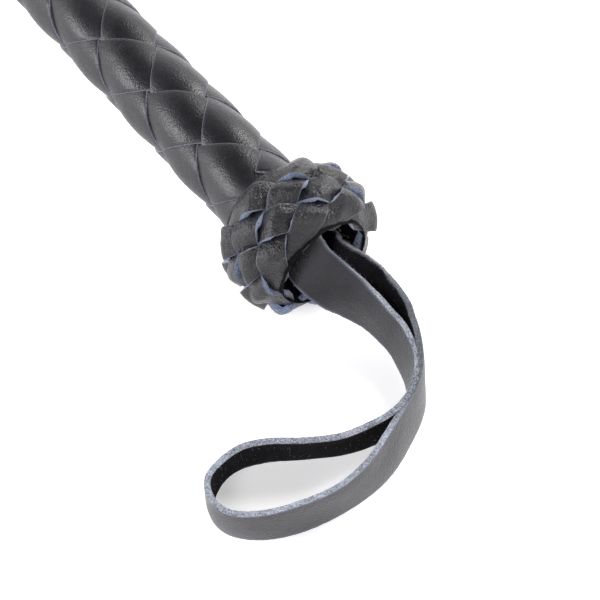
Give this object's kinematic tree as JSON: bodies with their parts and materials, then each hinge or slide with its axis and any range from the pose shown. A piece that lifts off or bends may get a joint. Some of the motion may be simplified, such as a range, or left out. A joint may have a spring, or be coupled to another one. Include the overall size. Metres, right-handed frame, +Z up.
{
  "type": "riding crop",
  "caption": "Riding crop with a plaited leather handle, woven pommel knot, flat wrist strap, slim braided shaft and leather keeper.",
  "frame": {"origin": "centre of the bounding box in X and Y, on the surface that the crop lies on", "axes": "+X along the crop toward the pommel, +Z up"},
  "size_m": [0.7054, 0.0718, 0.0365],
  "materials": {
    "plait_leather": "satin smooth black leather",
    "knot_leather": "soft wrinkled black leather with blue-grey cut edges",
    "strap_leather": "satin black strap leather, fuzzy flesh side",
    "keeper_leather": "satin black leather",
    "foundation_leather": "plain undyed leather",
    "waxed_thread": "waxed black thread",
    "sleeve_braid": "tight braided black nylon",
    "rod": "pultruded glass fibre",
    "filler": "plain turned wood"
  },
  "bodies": {
    "crop": {"core_rod": "rod", "handle_filler": "filler", "plait_strand_1": "plait_leather", "plait_strand_2": "plait_leather", "plait_strand_3": "plait_leather", "plait_strand_4": "plait_leather", "plait_strand_5": "plait_leather", "plait_strand_6": "plait_leather", "butt_binding": "waxed_thread", "knot_foundation": "foundation_leather", "pommel_knot": "knot_leather", "strap_tail_upper": "strap_leather", "strap_tail_lower": "strap_leather", "strap_binding": "waxed_thread", "collar_binding": "waxed_thread", "collar_foundation": "foundation_leather", "collar_knot": "knot_leather", "shaft_sleeve": "sleeve_braid", "keeper_neck": "keeper_leather", "keeper_whipping": "waxed_thread"},
    "strap": {"wrist_strap": "strap_leather"},
    "keeper": {"keeper_leaf_upper": "keeper_leather", "keeper_leaf_lower": "keeper_leather"}
  },
  "joints": [
    {"name": "strap_flex", "type": "hinge", "parent": "crop", "child": "strap", "pos_m": [0.30892, 0.01775, 0.01856], "axis": [0.0146, -0.6947, -0.7192], "range_deg": [-12, 40], "stiffness_Nm_per_rad": 0.02},
    {"name": "keeper_flex", "type": "hinge", "parent": "crop", "child": "keeper", "pos_m": [-0.3027, 0.01775, 0.00208], "axis": [0, 1, 0], "range_deg": [-45, 45], "stiffness_Nm_per_rad": 0.05}
  ]
}
